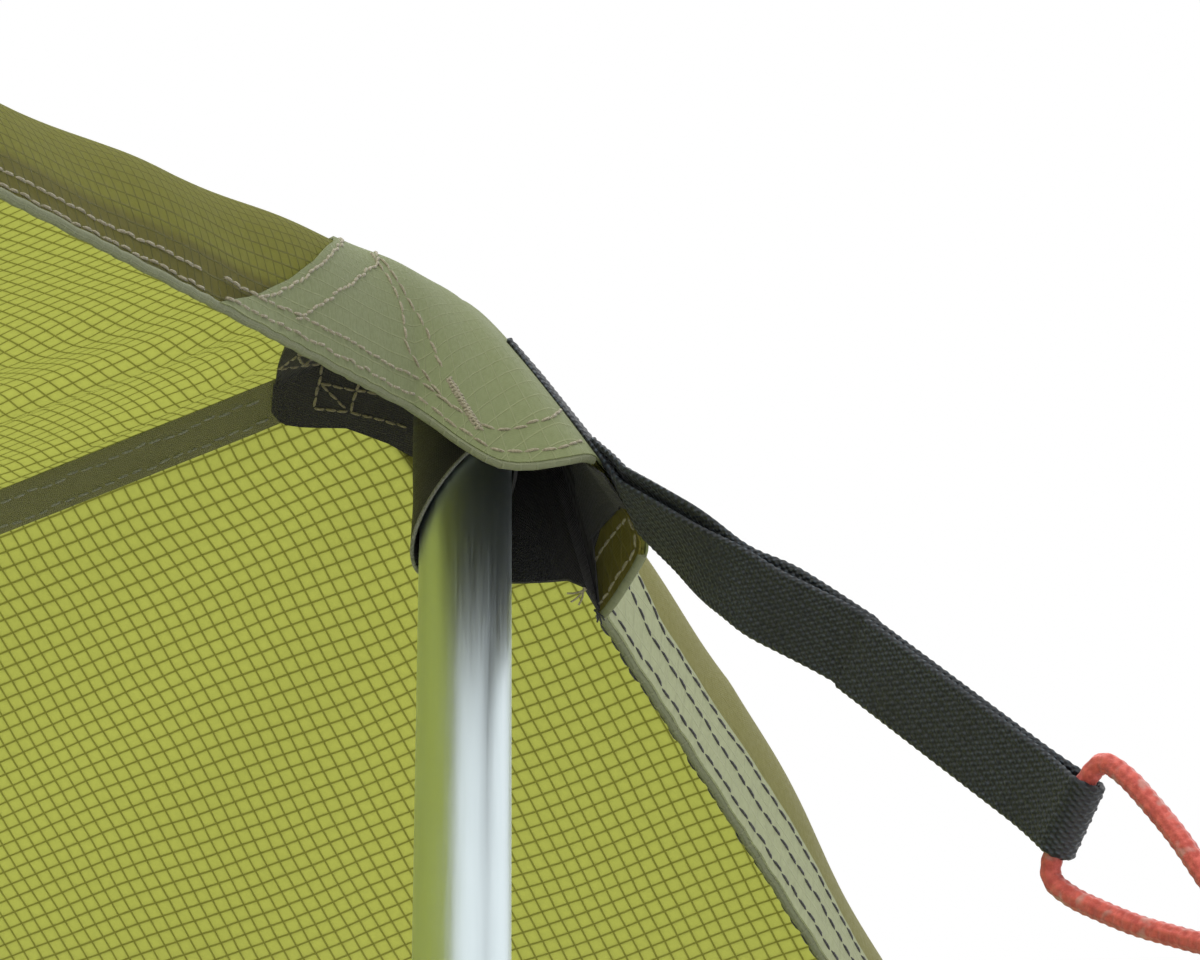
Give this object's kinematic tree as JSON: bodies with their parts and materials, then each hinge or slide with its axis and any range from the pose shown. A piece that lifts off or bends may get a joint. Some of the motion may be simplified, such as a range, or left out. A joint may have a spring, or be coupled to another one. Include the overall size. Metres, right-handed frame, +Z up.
{
  "type": "camping tarp",
  "caption": "Low A-frame camping tarp of ripstop cloth on telescopic tube poles, with webbing straps and cord loops at the ridge ends and peg loops along its edges.",
  "frame": {"origin": "on the ground, under the middle of the ridge", "axes": "+X along the ridge towards the pictured end, +Y square to the ridge towards the far half of the cloth, +Z up"},
  "size_m": [3.1364, 4.2734, 1.0817],
  "materials": {
    "ripstop": "coated ripstop cloth, olive outside and yellow-green where light comes through",
    "hood_cloth": "double layer of the same cloth, grey-green",
    "seam_tape": "folded dark olive seam",
    "liner_cloth": "black woven reinforcement",
    "webbing": "slate black webbing",
    "guy_cord": "braided coral cord",
    "pole_tube": "satin anodised tube",
    "plug_plastic": "moulded black plastic",
    "lever_metal": "bead-blasted lever",
    "pin_metal": "plain steel pin",
    "foot_rubber": "black rubber"
  },
  "bodies": {
    "sewn_tarp": {"near_canopy": "ripstop", "far_canopy": "ripstop", "ridge_seam_tape": "seam_tape", "front_peak_hood": "hood_cloth", "rear_peak_hood": "hood_cloth", "front_peak_liner": "liner_cloth", "rear_peak_liner": "liner_cloth", "front_pocket_web": "liner_cloth", "rear_pocket_web": "liner_cloth", "front_strap": "webbing", "rear_strap": "webbing", "front_guy_cord": "guy_cord", "rear_guy_cord": "guy_cord", "front_guy_knot": "guy_cord", "rear_guy_knot": "guy_cord", "front_near_corner_patch": "liner_cloth", "front_far_corner_patch": "liner_cloth", "rear_near_corner_patch": "liner_cloth", "rear_far_corner_patch": "liner_cloth", "front_near_peg_loop": "webbing", "front_far_peg_loop": "webbing", "rear_near_peg_loop": "webbing", "rear_far_peg_loop": "webbing", "near_side_peg_loop": "webbing", "far_side_peg_loop": "webbing"},
    "front_upper_pole": {"front_pole_pocket": "liner_cloth", "front_upper_tube": "pole_tube", "front_tip_plug": "plug_plastic", "front_guide_bush": "plug_plastic"},
    "front_lower_pole": {"front_lower_tube": "pole_tube", "front_foot": "foot_rubber", "front_clamp_collar": "plug_plastic", "front_clamp_pin": "pin_metal"},
    "front_lever": {"front_clamp_lever": "lever_metal"},
    "rear_upper_pole": {"rear_pole_pocket": "liner_cloth", "rear_upper_tube": "pole_tube", "rear_tip_plug": "plug_plastic", "rear_guide_bush": "plug_plastic"},
    "rear_lower_pole": {"rear_lower_tube": "pole_tube", "rear_foot": "foot_rubber", "rear_clamp_collar": "plug_plastic", "rear_clamp_pin": "pin_metal"},
    "rear_lever": {"rear_clamp_lever": "lever_metal"}
  },
  "joints": [
    {"name": "front_pole_swing", "type": "hinge", "parent": "sewn_tarp", "child": "front_upper_pole", "pos_m": [1.4, 0, 1.0547], "axis": [0, 1, 0], "range_deg": [-12, 12]},
    {"name": "front_pole_slide", "type": "slide", "parent": "front_upper_pole", "child": "front_lower_pole", "axis": [0, 0, 1], "range_m": [0, 0.36]},
    {"name": "front_lever_turn", "type": "hinge", "parent": "front_lower_pole", "child": "front_lever", "pos_m": [1.4, 0.01795, 0.588], "axis": [0, 0, 1], "range_deg": [0, 110]},
    {"name": "rear_pole_swing", "type": "hinge", "parent": "sewn_tarp", "child": "rear_upper_pole", "pos_m": [-1.4, 0, 1.0547], "axis": [0, -1, 0], "range_deg": [-12, 12]},
    {"name": "rear_pole_slide", "type": "slide", "parent": "rear_upper_pole", "child": "rear_lower_pole", "axis": [0, 0, 1], "range_m": [0, 0.36]},
    {"name": "rear_lever_turn", "type": "hinge", "parent": "rear_lower_pole", "child": "rear_lever", "pos_m": [-1.4, -0.01795, 0.588], "axis": [0, 0, 1], "range_deg": [0, 110]}
  ]
}
